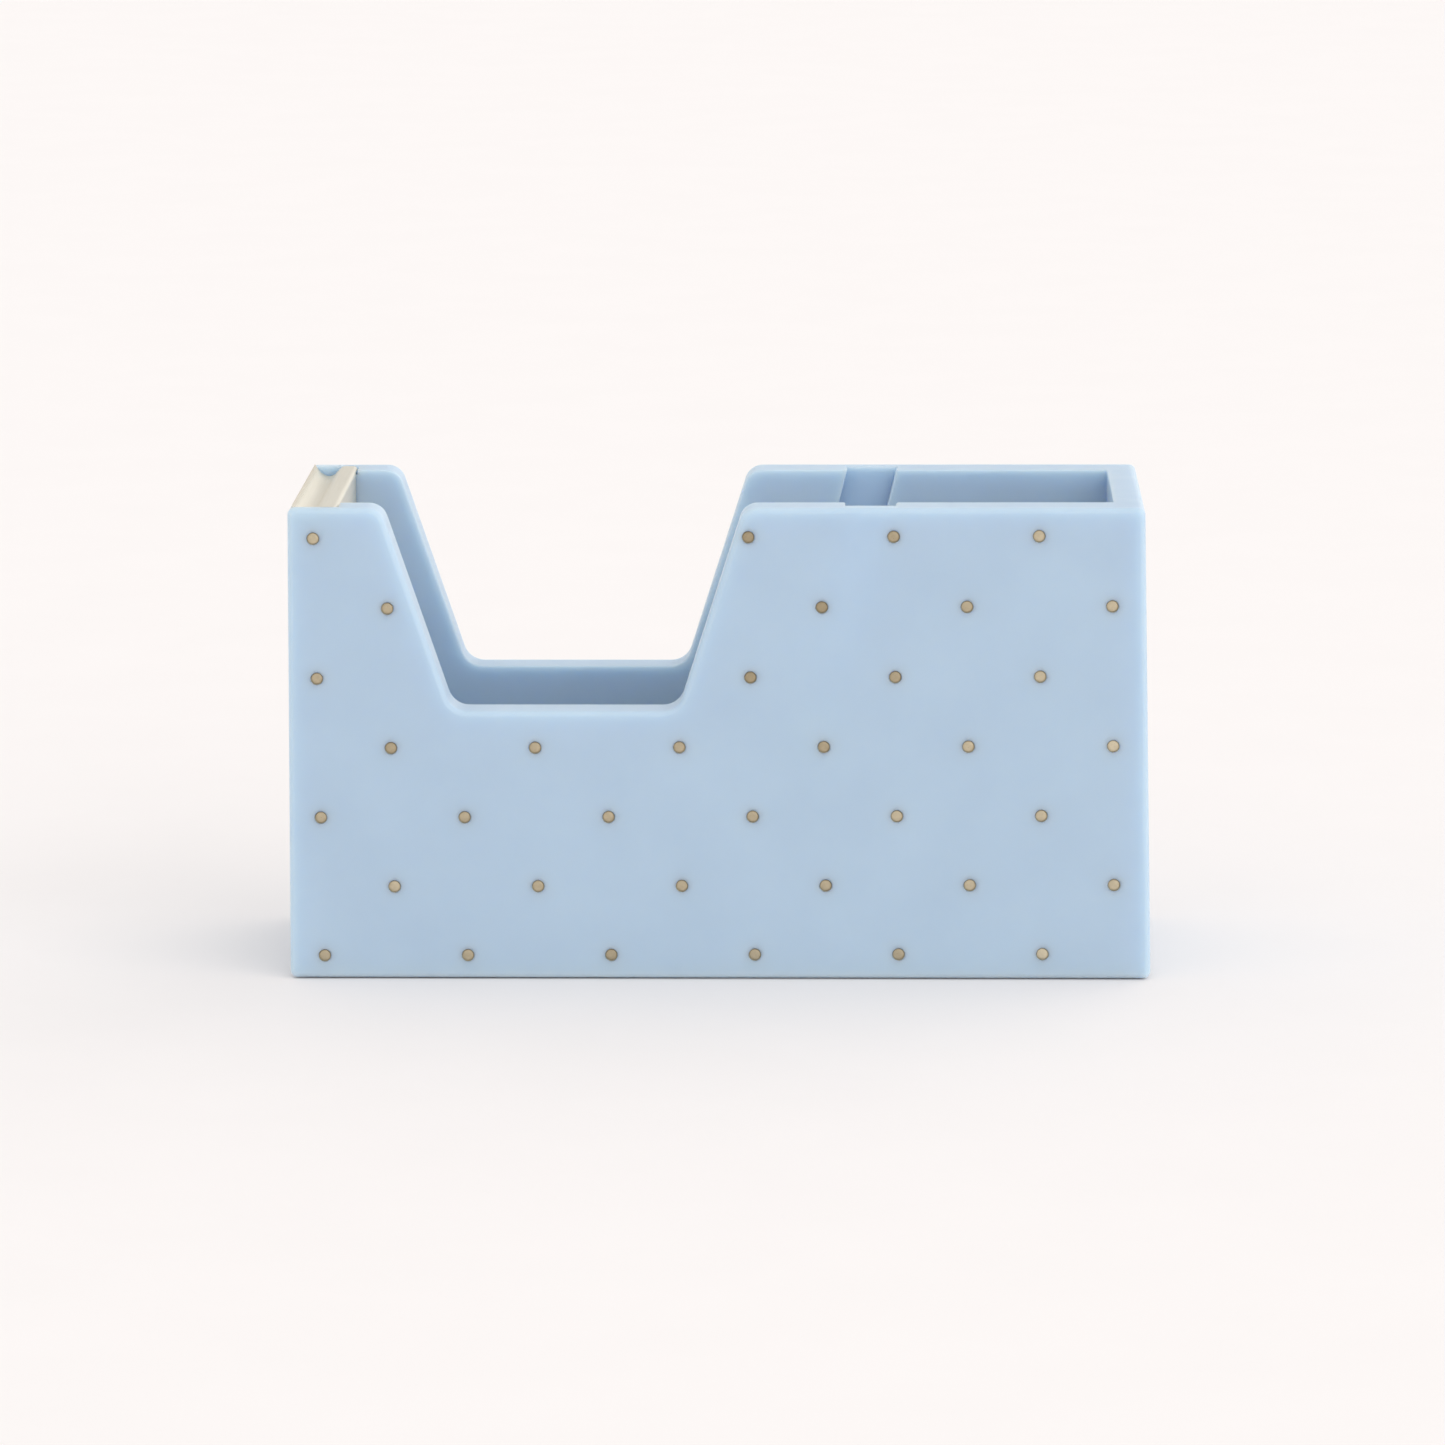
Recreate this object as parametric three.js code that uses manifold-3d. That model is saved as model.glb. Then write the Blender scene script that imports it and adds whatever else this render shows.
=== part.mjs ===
// A desktop tape dispenser: a moulded resin tub with a notched middle, a bent metal cutter plate on its
// nose, and a loose hub that carries the tape roll and drops into two sloping slots in the side walls.
// Millimetres, +Z up. X runs from the cutter end to the rear end, and Y from the front wall to the back wall.
// The origin is on the table, under the middle of the tub.
import * as THREE from "three";
import { mergeVertices } from "three/addons/utils/BufferGeometryUtils.js";
import Module from "manifold-3d";

const wasm = await Module();
wasm.setup();

// ---- Driving dimensions ----
const LENGTH = 148; // overall, along X, at the foot of the tub
const DEPTH = 50; // overall, along Y
const HEIGHT = 82; // table to the top of the walls
const NOSE_DRAFT = 0.8; // how far each end leans in over its height
const REAR_DRAFT = 1.5;
const WALL = 7; // front and back walls
const REAR_WALL = 6.7; // end wall behind the tape bay
const EDGE = 1; // rounding of the tub's outer edges
const CORNER = 1.2; // corners of the walls' outline

const NOSE_TOP = 16.6; // length of the nose along its top
const REAR_TOP = 69.6; // length of the rear block along its top
const NOTCH_FOOT_START = 28.4; // the notch's flat foot, from the cutter end
const NOTCH_FOOT_END = 67.1;
const NOTCH_Z = 46.9; // height of the notch's foot
const NOTCH_TOP_FILLET = 3.2;
const NOTCH_FOOT_FILLET = 3.8;

const BAY_FLOOR_Z = 13; // inside floor of the tape bay
const BAY_CORNER = 0.4; // upright inner corners

const PAD_THICKNESS = 1.5;
const PAD_PROUD = 0.2; // how far the pad stands out below the tub
const PAD_INSET = 3; // tub's rim round the pad
const PAD_CORNER = 4;
const COVER_THICKNESS = 2;
const COVER_INSET = 6; // tub's rim round the base cover
const COVER_CORNER = 3;
const BALLAST = { length: 117, width: 31, height: 7, corner: 1 };
const SCREW = { head: 2.3, headHeight: 1.1, shank: 1.1, length: 5.5 }; // radii, and heights along Z

const SHEET = 0.6; // cutter plate's metal
const CUTTER_WIDTH = 45; // along Y
const TOOTH_TIP = { x: 1.5, rise: 0.35 }; // the teeth's tips, from the cutter end and above the walls
const TOOTH_PITCH = 1.5;
const TOOTH_DEPTH = 0.7;
const TOOTH_BLUNT = 0.1; // how far outside the sheet's edge the zigzag starts, which blunts each tip
const FLANGE_X = 9.1; // cutter plate's inner face in the bay, from the cutter end
const FLANGE_FOOT_Z = 69;
const BEND = 0.8; // outer radius of the fold between shelf and flange
const BLADE_SCREW = { head: 2, headHeight: 1, shank: 0.9, length: 4.5 };

const SLOT_TOP = 100; // slot's centre line at the top of the walls, from the cutter end
const SLOT_LEAN = THREE.MathUtils.degToRad(14);
const SLOT_WIDTH = 8.4;
const SLOT_DEPTH = 3.5;
const HUB_Z = 44; // hub's centre when it lies at the foot of the slots

const ROD_RADIUS = 2.5;
const SLEEVE_RADIUS = 4;
const COLLAR_RADIUS = 5.6;
const COLLAR_WIDTH = 1.2;
const DRUM_RADIUS = 12; // under the ribs, for a tape core of 25.4 mm
const RIB_HEIGHT = 0.5;
const RIB_WIDTH = 2.4;
const RIB_COUNT = 6;
const DRUM_WALL = 1.8;
const DRUM_HALF = 9.5; // half the tape's width
const HUB_FLANGE_RADIUS = 15;
const HUB_WEB = 1.6; // thickness of the hub's flange and webs
const BOSS_RADIUS = 4.6;
const SPIGOT = 4; // how far the back half's spigot reaches into the front half

const DOT_RADIUS = 0.9; // gold foil dots, each pressed into a round recess
const DOT_THICKNESS = 0.2;
const DOT_RECESS_RADIUS = 1.1;
const DOT_RECESS_DEPTH = 0.45;
const DOT_SIDES = 12;
const DOT_GRID = { x: 6.02, z: 4.17, columns: 12, rows: 7, pitchX: 12.34, pitchZ: 12.11 };
const DOT_LEAN = 0.15; // how far each row of dots lies toward the cutter end of the row below it
const DOT_RISE = 0.04; // how far each column of dots lies above the column before it

const FIT = 0.15; // gap between still pieces that lie side by side
const RUNNING = 0.08; // gap all round the rod inside the hub that turns on it
const PLAY = 0.3; // gap round a piece that moves, or that follows a curved neighbour

// ---- Places worked out from the driving dimensions ----
const NOSE_X = -LENGTH / 2; // plane of the cutter end, at the foot
const REAR_X = LENGTH / 2;
const FRONT_Y = -DEPTH / 2;
const TUB_FOOT_Z = PAD_PROUD;
const PAD_TOP_Z = PAD_THICKNESS;
const COVER_FOOT_Z = PAD_TOP_Z + FIT;
const COVER_TOP_Z = COVER_FOOT_Z + COVER_THICKNESS;
const BALLAST_FOOT_Z = COVER_TOP_Z + FIT;
const BALLAST_TOP_Z = BALLAST_FOOT_Z + BALLAST.height;
const BAY_HALF = DEPTH / 2 - WALL; // half the bay's width, along Y
const BAY_NOSE_X = NOSE_X + FLANGE_X - SHEET - PLAY;
const BAY_REAR_X = REAR_X - REAR_WALL;
const HUB_X = NOSE_X + SLOT_TOP - (HEIGHT - HUB_Z) * Math.tan(SLOT_LEAN);
const SCREW_X = BALLAST.length / 2 + 5;
const SCREW_Y = BALLAST.width / 2 - 3;
const BLADE_SCREW_Y = 11;
const BLADE_SCREW_Z = FLANGE_FOOT_Z + 3.5;

const WASTE = 5; // how far a cutting solid runs past what it cuts

// ---- Solids ----

// A closed three.js geometry as a manifold solid, for cutting and joining.
function solid(geometry) {
  const bare = geometry.index ? geometry.toNonIndexed() : geometry.clone();
  bare.deleteAttribute("normal");
  bare.deleteAttribute("uv");
  const merged = mergeVertices(bare, 1e-4);
  return new wasm.Manifold(
    new wasm.Mesh({
      numProp: 3,
      vertProperties: merged.attributes.position.array,
      triVerts: new Uint32Array(merged.index.array),
    }),
  );
}

// A manifold solid as a three.js geometry with flat faces.
function geometryOf(body) {
  const mesh = body.getMesh();
  const geometry = new THREE.BufferGeometry();
  geometry.setAttribute("position", new THREE.BufferAttribute(mesh.vertProperties, 3));
  geometry.setIndex(new THREE.BufferAttribute(mesh.triVerts, 1));
  const flat = geometry.toNonIndexed();
  flat.computeVertexNormals();
  return flat;
}

const cut = (body, ...tools) => tools.reduce((left, tool) => left.subtract(tool), body);
const join = (...bodies) => bodies.reduce((whole, body) => whole.add(body));

// An outline in X and Z, extruded along Y from y0 to y1.
function alongY(shape, y0, y1, options = {}) {
  const edge = options.edge ?? 0;
  const geometry = new THREE.ExtrudeGeometry(shape, {
    depth: y1 - y0 - 2 * edge,
    bevelEnabled: edge > 0,
    bevelThickness: edge,
    bevelSize: edge,
    bevelOffset: -edge,
    bevelSegments: 3,
    curveSegments: options.curveSegments ?? 4,
  });
  geometry.rotateX(Math.PI / 2);
  geometry.translate(0, y1 - edge, 0);
  return solid(geometry);
}

// An outline in X and Y, extruded along Z from z0 to z1.
function alongZ(shape, z0, z1, curveSegments = 3) {
  const geometry = new THREE.ExtrudeGeometry(shape, {
    depth: z1 - z0,
    bevelEnabled: false,
    curveSegments,
  });
  geometry.translate(0, 0, z0);
  return solid(geometry);
}

// A cylinder along Y, with its centre line at x and z.
function rodY(radius, y0, y1, x, z, sides = 32) {
  const geometry = new THREE.CylinderGeometry(radius, radius, y1 - y0, sides);
  geometry.translate(x, (y0 + y1) / 2, z);
  return solid(geometry);
}

// A cylinder along Z, with its centre line at x and y.
function rodZ(radius, z0, z1, x, y, sides = 16) {
  const geometry = new THREE.CylinderGeometry(radius, radius, z1 - z0, sides);
  geometry.rotateX(Math.PI / 2);
  geometry.translate(x, y, (z0 + z1) / 2);
  return solid(geometry);
}

// A cylinder along X, with its centre line at y and z.
function rodX(radius, x0, x1, y, z, sides = 16) {
  const geometry = new THREE.CylinderGeometry(radius, radius, x1 - x0, sides);
  geometry.rotateZ(-Math.PI / 2);
  geometry.translate((x0 + x1) / 2, y, z);
  return solid(geometry);
}

function block(x0, x1, y0, y1, z0, z1) {
  const geometry = new THREE.BoxGeometry(x1 - x0, y1 - y0, z1 - z0);
  geometry.translate((x0 + x1) / 2, (y0 + y1) / 2, (z0 + z1) / 2);
  return solid(geometry);
}

// A closed outline through corners {x, y, r}, each rounded to its radius r.
function roundedOutline(corners) {
  const shape = new THREE.Shape();
  const count = corners.length;
  corners.forEach((corner, i) => {
    const here = new THREE.Vector2(corner.x, corner.y);
    const before = corners[(i + count - 1) % count];
    const after = corners[(i + 1) % count];
    const back = new THREE.Vector2(before.x, before.y).sub(here).normalize();
    const on = new THREE.Vector2(after.x, after.y).sub(here).normalize();
    const half = Math.acos(THREE.MathUtils.clamp(back.dot(on), -1, 1)) / 2;
    const reach = corner.r / Math.tan(half);
    const start = here.clone().addScaledVector(back, reach);
    const end = here.clone().addScaledVector(on, reach);
    const middle = back.clone().add(on).normalize();
    const centre = here.clone().addScaledVector(middle, corner.r / Math.sin(half));
    const clockwise = back.cross(on) > 0;
    if (i === 0) shape.moveTo(start.x, start.y);
    else shape.lineTo(start.x, start.y);
    shape.absarc(
      centre.x,
      centre.y,
      corner.r,
      Math.atan2(start.y - centre.y, start.x - centre.x),
      Math.atan2(end.y - centre.y, end.x - centre.x),
      clockwise,
    );
  });
  shape.closePath();
  return shape;
}

// A rectangle with round corners, in X and Y.
function roundedRectangle(x0, x1, y0, y1, r) {
  return roundedOutline([
    { x: x0, y: y0, r },
    { x: x1, y: y0, r },
    { x: x1, y: y1, r },
    { x: x0, y: y1, r },
  ]);
}

// ---- Tub ----

// The outline that the front and back walls share: nose, notch and rear block.
function wallOutline() {
  const corner = (x, z, r) => ({ x, y: z, r });
  return roundedOutline([
    corner(NOSE_X, TUB_FOOT_Z, CORNER),
    corner(REAR_X, TUB_FOOT_Z, CORNER),
    corner(REAR_X - REAR_DRAFT, HEIGHT, CORNER),
    corner(REAR_X - REAR_TOP, HEIGHT, NOTCH_TOP_FILLET),
    corner(NOSE_X + NOTCH_FOOT_END, NOTCH_Z, NOTCH_FOOT_FILLET),
    corner(NOSE_X + NOTCH_FOOT_START, NOTCH_Z, NOTCH_FOOT_FILLET),
    corner(NOSE_X + NOSE_TOP, HEIGHT, NOTCH_TOP_FILLET),
    corner(NOSE_X + NOSE_DRAFT, HEIGHT, CORNER),
  ]);
}

// True where the wall has material at x and z, with x from the cutter end, so that a dot can lie there.
function onWall(x, z) {
  if (z < NOTCH_Z) return true;
  const up = (z - NOTCH_Z) / (HEIGHT - NOTCH_Z);
  const noseEdge = THREE.MathUtils.lerp(NOTCH_FOOT_START, NOSE_TOP, up);
  const rearEdge = THREE.MathUtils.lerp(NOTCH_FOOT_END, LENGTH - REAR_TOP, up);
  return x < noseEdge || x > rearEdge;
}

// Centres of the dots on a long wall: every second place of a grid, where the wall has material.
function dotPlaces() {
  const places = [];
  for (let row = 0; row < DOT_GRID.rows; row += 1) {
    for (let column = row % 2; column < DOT_GRID.columns; column += 2) {
      const x = DOT_GRID.x + column * DOT_GRID.pitchX - row * DOT_LEAN;
      const z = DOT_GRID.z + row * DOT_GRID.pitchZ + column * DOT_RISE;
      if (onWall(x, z)) places.push([NOSE_X + x, z]);
    }
  }
  return places;
}

// One sloping slot, as the solid that is cut from the wall. side is -1 at the front and 1 at the back.
function slotCutter(side) {
  const half = SLOT_WIDTH / 2 / Math.cos(SLOT_LEAN); // half the slot's width, measured level
  const overTop = HEIGHT + WASTE;
  const topX = HUB_X + (overTop - HUB_Z) * Math.tan(SLOT_LEAN);
  const shape = new THREE.Shape();
  shape.absarc(HUB_X, HUB_Z, SLOT_WIDTH / 2, -SLOT_LEAN, Math.PI - SLOT_LEAN, true);
  shape.lineTo(topX - half, overTop);
  shape.lineTo(topX + half, overTop);
  shape.closePath();
  const deep = BAY_HALF + SLOT_DEPTH;
  const inner = BAY_HALF - WASTE;
  return side < 0
    ? alongY(shape, -deep, -inner, { curveSegments: 8 })
    : alongY(shape, inner, deep, { curveSegments: 8 });
}

// The pocket that the cutter plate lies in: everything above the plate's underside, less a gap.
function cutterPocket() {
  const line = cutterSurface();
  const under = line.map(({ point, normal }) => point.clone().addScaledVector(normal, -SHEET - PLAY));
  const seat = under.filter((p) => p.x < BAY_NOSE_X && p.y > FLANGE_FOOT_Z);
  const shape = new THREE.Shape();
  shape.moveTo(NOSE_X - WASTE, HEIGHT + WASTE);
  shape.lineTo(NOSE_X - WASTE, seat[0].y);
  seat.forEach((p) => shape.lineTo(p.x, p.y));
  shape.lineTo(BAY_NOSE_X, seat[seat.length - 1].y);
  shape.lineTo(NOSE_X + FLANGE_X + PLAY, seat[seat.length - 1].y);
  shape.lineTo(NOSE_X + FLANGE_X + PLAY, HEIGHT + WASTE);
  shape.closePath();
  const half = CUTTER_WIDTH / 2 + PLAY;
  return alongY(shape, -half, half);
}

function tubBody() {
  const outer = alongY(wallOutline(), FRONT_Y, -FRONT_Y, { edge: EDGE });
  const bay = alongZ(
    roundedRectangle(BAY_NOSE_X, BAY_REAR_X, -BAY_HALF, BAY_HALF, BAY_CORNER),
    BAY_FLOOR_Z,
    HEIGHT + WASTE,
  );
  const padX = LENGTH / 2 - PAD_INSET;
  const padY = DEPTH / 2 - PAD_INSET;
  const padRecess = alongZ(roundedRectangle(-padX, padX, -padY, padY, PAD_CORNER), -WASTE, PAD_TOP_Z);
  const coverX = LENGTH / 2 - COVER_INSET;
  const coverY = DEPTH / 2 - COVER_INSET;
  const coverRecess = alongZ(
    roundedRectangle(-coverX, coverX, -coverY, coverY, COVER_CORNER),
    -WASTE,
    COVER_TOP_Z,
  );
  const ballastX = BALLAST.length / 2 + FIT;
  const ballastY = BALLAST.width / 2 + FIT;
  const ballastRecess = block(-ballastX, ballastX, -ballastY, ballastY, -WASTE, BALLAST_TOP_Z + FIT);
  const coverPilots = baseScrewPlaces().map(([x, y]) =>
    rodZ(SCREW.shank + FIT, -WASTE, COVER_TOP_Z + SCREW.length, x, y, 12),
  );
  const bladePilots = [-1, 1].map((side) =>
    rodX(
      BLADE_SCREW.shank + FIT,
      BAY_NOSE_X - BLADE_SCREW.length,
      BAY_NOSE_X + 1,
      side * BLADE_SCREW_Y,
      BLADE_SCREW_Z,
      12,
    ),
  );
  const dotRecesses = dotPlaces().flatMap(([x, z]) => [
    rodY(DOT_RECESS_RADIUS, FRONT_Y - 1, FRONT_Y + DOT_RECESS_DEPTH, x, z, DOT_SIDES),
    rodY(DOT_RECESS_RADIUS, -FRONT_Y - DOT_RECESS_DEPTH, -FRONT_Y + 1, x, z, DOT_SIDES),
  ]);
  return cut(
    outer,
    bay,
    slotCutter(-1),
    slotCutter(1),
    cutterPocket(),
    padRecess,
    coverRecess,
    ballastRecess,
    ...coverPilots,
    ...bladePilots,
    ...dotRecesses,
  );
}

// ---- Cutter plate ----

// Upper face of the bent sheet as points with normals: teeth, trough for the fingertip, shelf, fold, flange.
function cutterSurface() {
  const at = (x, z) => new THREE.Vector2(NOSE_X + x, z);
  const trough = new THREE.SplineCurve([
    at(TOOTH_TIP.x, HEIGHT + TOOTH_TIP.rise),
    at(2.2, HEIGHT - 0.68),
    at(3.05, HEIGHT - 1.42),
    at(4, HEIGHT - 1.72),
    at(4.95, HEIGHT - 1.42),
    at(5.65, HEIGHT - 0.7),
    at(6.35, HEIGHT - 0.12),
    at(7, HEIGHT),
    at(7.6, HEIGHT),
  ]).getPoints(16);
  const fold = new THREE.EllipseCurve(
    NOSE_X + FLANGE_X - BEND,
    HEIGHT - BEND,
    BEND,
    BEND,
    Math.PI / 2,
    0,
    true,
  ).getPoints(5);
  const points = [...trough, ...fold, at(FLANGE_X, FLANGE_FOOT_Z)];
  return points.map((point, i) => {
    const before = points[Math.max(i - 1, 0)];
    const after = points[Math.min(i + 1, points.length - 1)];
    const along = after.clone().sub(before).normalize();
    return { point, normal: new THREE.Vector2(-along.y, along.x) };
  });
}

// The zigzag waste along the plate's free edge, which leaves its teeth.
function toothCutter() {
  const root = NOSE_X + TOOTH_TIP.x + TOOTH_DEPTH;
  const outer = NOSE_X + TOOTH_TIP.x - TOOTH_BLUNT;
  const count = CUTTER_WIDTH / TOOTH_PITCH;
  const start = -CUTTER_WIDTH / 2;
  const shape = new THREE.Shape();
  shape.moveTo(outer - WASTE, start - WASTE);
  shape.lineTo(outer, start - WASTE);
  for (let i = 0; i <= count; i += 1) {
    shape.lineTo(outer, start + i * TOOTH_PITCH);
    if (i < count) shape.lineTo(root, start + (i + 0.5) * TOOTH_PITCH);
  }
  shape.lineTo(outer, -start + WASTE);
  shape.lineTo(outer - WASTE, -start + WASTE);
  shape.closePath();
  return alongZ(shape, HEIGHT - WASTE, HEIGHT + WASTE);
}

function cutterBody() {
  const line = cutterSurface();
  const top = line.map(({ point }) => point);
  const under = line.map(({ point, normal }) => point.clone().addScaledVector(normal, -SHEET));
  const shape = new THREE.Shape([...top, ...under.reverse()]);
  const half = CUTTER_WIDTH / 2;
  const plate = alongY(shape, -half, half);
  const flangeTrim = [-1, 1].map((side) => {
    const inner = BAY_HALF - BAY_CORNER; // the flange is narrower than the shelf, to pass between the walls
    const y = [side * inner, side * (half + WASTE)].sort((a, b) => a - b);
    return block(BAY_NOSE_X, BAY_NOSE_X + 2 * WASTE, ...y, 0, HEIGHT - SHEET);
  });
  const holes = [-1, 1].map((side) =>
    rodX(
      BLADE_SCREW.shank + PLAY,
      BAY_NOSE_X - 1,
      BAY_NOSE_X + 3,
      side * BLADE_SCREW_Y,
      BLADE_SCREW_Z,
      16,
    ),
  );
  return cut(plate, toothCutter(), ...flangeTrim, ...holes);
}

// ---- Foil dots ----

// One foil dot in its recess in the front wall.
function dotBody(x, z) {
  const back = FRONT_Y + DOT_RECESS_DEPTH - 0.01;
  return rodY(DOT_RADIUS, back - DOT_THICKNESS, back, x, z, DOT_SIDES);
}

// ---- Screws ----

const baseScrewPlaces = () =>
  [-1, 1].flatMap((sx) => [-1, 1].map((sy) => [sx * SCREW_X, sy * SCREW_Y]));

// A pan-head screw with a cross recess. It stands on its head at the origin and points up +Z.
function screwBody({ head, headHeight, shank, length }) {
  const cross = [
    [0.75 * head, 0.16 * head],
    [0.16 * head, 0.75 * head],
  ].map(([x, y]) => block(-x, x, -y, y, -WASTE, headHeight / 2));
  const pan = solid(
    new THREE.LatheGeometry(
      [
        new THREE.Vector2(0, 0),
        new THREE.Vector2(0.7 * head, 0),
        new THREE.Vector2(head, 0.45 * headHeight),
        new THREE.Vector2(head, headHeight),
        new THREE.Vector2(shank, headHeight),
        new THREE.Vector2(shank, headHeight + length - shank),
        new THREE.Vector2(0, headHeight + length),
      ],
      16,
    ).rotateX(Math.PI / 2),
  );
  return cut(pan, ...cross);
}

// ---- Base ----

function coverBody() {
  const x = LENGTH / 2 - COVER_INSET - FIT;
  const y = DEPTH / 2 - COVER_INSET - FIT;
  const plate = alongZ(roundedRectangle(-x, x, -y, y, COVER_CORNER), COVER_FOOT_Z, COVER_TOP_Z - FIT);
  const seats = baseScrewPlaces().flatMap(([sx, sy]) => [
    rodZ(SCREW.shank + PLAY, -WASTE, HEIGHT, sx, sy, 16),
    rodZ(SCREW.head + PLAY, -WASTE, COVER_FOOT_Z + SCREW.headHeight + FIT, sx, sy, 20),
  ]);
  return cut(plate, ...seats);
}

function padBody() {
  const x = LENGTH / 2 - PAD_INSET - FIT;
  const y = DEPTH / 2 - PAD_INSET - FIT;
  return alongZ(roundedRectangle(-x, x, -y, y, PAD_CORNER), 0, PAD_THICKNESS - FIT / 2);
}

function ballastBody() {
  const { length, width, corner } = BALLAST;
  const outline = roundedRectangle(-length / 2, length / 2, -width / 2, width / 2, corner);
  return alongZ(outline, BALLAST_FOOT_Z, BALLAST_TOP_Z);
}

// ---- Hub and axle, all on the hub's centre line ----

function axleRod() {
  const half = BAY_HALF + SLOT_DEPTH - 2 * PLAY;
  return rodY(ROD_RADIUS, -half, half, HUB_X, HUB_Z);
}

// A sleeve pressed on one end of the rod. Its outer end lies in the slot and its collar keeps the hub central.
function sleeveBody(side) {
  const inner = DRUM_HALF + HUB_WEB + PLAY;
  const outer = BAY_HALF + SLOT_DEPTH - PLAY;
  const collar = BAY_HALF - PLAY;
  const span = (a, b) => [side * a, side * b].sort((p, q) => p - q);
  const tube = rodY(SLEEVE_RADIUS, ...span(inner, outer), HUB_X, HUB_Z);
  const ring = rodY(COLLAR_RADIUS, ...span(collar - COLLAR_WIDTH, collar), HUB_X, HUB_Z);
  const bore = rodY(ROD_RADIUS + FIT, ...span(0, outer - PLAY), HUB_X, HUB_Z);
  return cut(join(tube, ring), bore);
}

// Ribs that grip the tape's core, on the drum between y0 and y1.
function ribs(y0, y1) {
  return Array.from({ length: RIB_COUNT }, (_, i) => {
    const rib = block(-RIB_WIDTH / 2, RIB_WIDTH / 2, y0, y1, DRUM_RADIUS - 1, DRUM_RADIUS + RIB_HEIGHT);
    const turn = (360 * i) / RIB_COUNT;
    return rib.rotate([0, turn, 0]).translate([HUB_X, 0, HUB_Z]);
  });
}

// Front half of the hub: the flange that the roll is pushed against, half the drum and the boss.
function hubFront() {
  const face = -DRUM_HALF - HUB_WEB;
  const drum = rodY(DRUM_RADIUS, face, 0, HUB_X, HUB_Z, 48);
  const flange = rodY(HUB_FLANGE_RADIUS, face, -DRUM_HALF, HUB_X, HUB_Z, 48);
  const hollow = rodY(DRUM_RADIUS - DRUM_WALL, -DRUM_HALF, WASTE, HUB_X, HUB_Z, 48);
  const boss = rodY(BOSS_RADIUS, face, -PLAY, HUB_X, HUB_Z);
  const bore = rodY(ROD_RADIUS + RUNNING, face - WASTE, WASTE, HUB_X, HUB_Z);
  const shell = cut(join(drum, flange, ...ribs(face, 0)), hollow);
  return cut(join(shell, boss), bore);
}

// Back half: the other half of the drum, closed by a web, with a spigot that snaps inside the front half.
function hubBack() {
  const face = DRUM_HALF;
  const spigotRadius = DRUM_RADIUS - DRUM_WALL - PLAY;
  const drum = rodY(DRUM_RADIUS, PLAY, face, HUB_X, HUB_Z, 48);
  const spigot = rodY(spigotRadius, -SPIGOT, PLAY + 1, HUB_X, HUB_Z, 48);
  const hollow = rodY(spigotRadius - DRUM_WALL, -WASTE, face - HUB_WEB, HUB_X, HUB_Z, 48);
  const boss = rodY(BOSS_RADIUS, PLAY, face + HUB_WEB, HUB_X, HUB_Z);
  const bore = rodY(ROD_RADIUS + RUNNING, -WASTE, face + WASTE, HUB_X, HUB_Z);
  const shell = cut(join(drum, spigot, ...ribs(PLAY, face)), hollow);
  return cut(join(shell, boss), bore);
}

// ---- Materials ----
const finish = (color, roughness, metalness = 0) =>
  new THREE.MeshStandardMaterial({ color, roughness, metalness });
const resin = finish(0xb2c8dc, 0.35);
const goldFoil = finish(0xc8b28c, 0.35, 1);
const champagneMetal = finish(0xd8d0b4, 0.3, 1);
const steel = finish(0x9a9da0, 0.35, 1);
const blackIron = finish(0x4a4c4f, 0.6, 1);
const coverPlastic = finish(0x9fb4c8, 0.5);
const padFoam = finish(0xbfc4c8, 0.9);
const hubPlastic = finish(0xf1f1ee, 0.4);
const sleevePlastic = finish(0xdfe4e6, 0.45);

// ---- Assembly ----
const dispenser = new THREE.Group();

function add(name, body, material) {
  const mesh = new THREE.Mesh(geometryOf(body), material);
  mesh.name = name;
  dispenser.add(mesh);
  return mesh;
}

add("tub_body", tubBody(), resin);
add("cutter_plate", cutterBody(), champagneMetal);
add("ballast_plate", ballastBody(), blackIron);
add("base_cover", coverBody(), coverPlastic);
add("non_slip_pad", padBody(), padFoam);

baseScrewPlaces().forEach(([x, y], i) => {
  const screw = add(`base_screw_${i + 1}`, screwBody(SCREW), steel);
  screw.position.set(x, y, COVER_FOOT_Z);
});

["front", "back"].forEach((name, i) => {
  const screw = add(`cutter_screw_${name}`, screwBody(BLADE_SCREW), steel);
  const headX = NOSE_X + FLANGE_X + PLAY + BLADE_SCREW.headHeight;
  screw.rotation.y = -Math.PI / 2;
  screw.position.set(headX, (i === 0 ? -1 : 1) * BLADE_SCREW_Y, BLADE_SCREW_Z);
});

add("axle_rod", axleRod(), steel);
add("axle_sleeve_front", sleeveBody(-1), sleevePlastic);
add("axle_sleeve_back", sleeveBody(1), sleevePlastic);
add("hub_front_half", hubFront(), hubPlastic);
add("hub_back_half", hubBack(), hubPlastic);

dotPlaces().forEach(([x, z], i) => {
  add(`foil_dot_${i + 1}`, dotBody(x, z), goldFoil);
});

export default dispenser;
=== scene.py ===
"""Looks of a desktop tape dispenser: a pale blue resin tub with gold foil dots, a metal cutter and a hub.

Everything is in metres in the CAD model's frame: +X from the cutter end to the rear end, +Y from the front
wall to the back wall, +Z up, origin on the table under the middle of the tub. Lengths named below are in
millimetres, and shapes are worked out in millimetres until mesh_object() makes an object of them.
"""
import math
import random

import bmesh
import bpy
from mathutils import Matrix, Quaternion, Vector


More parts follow.
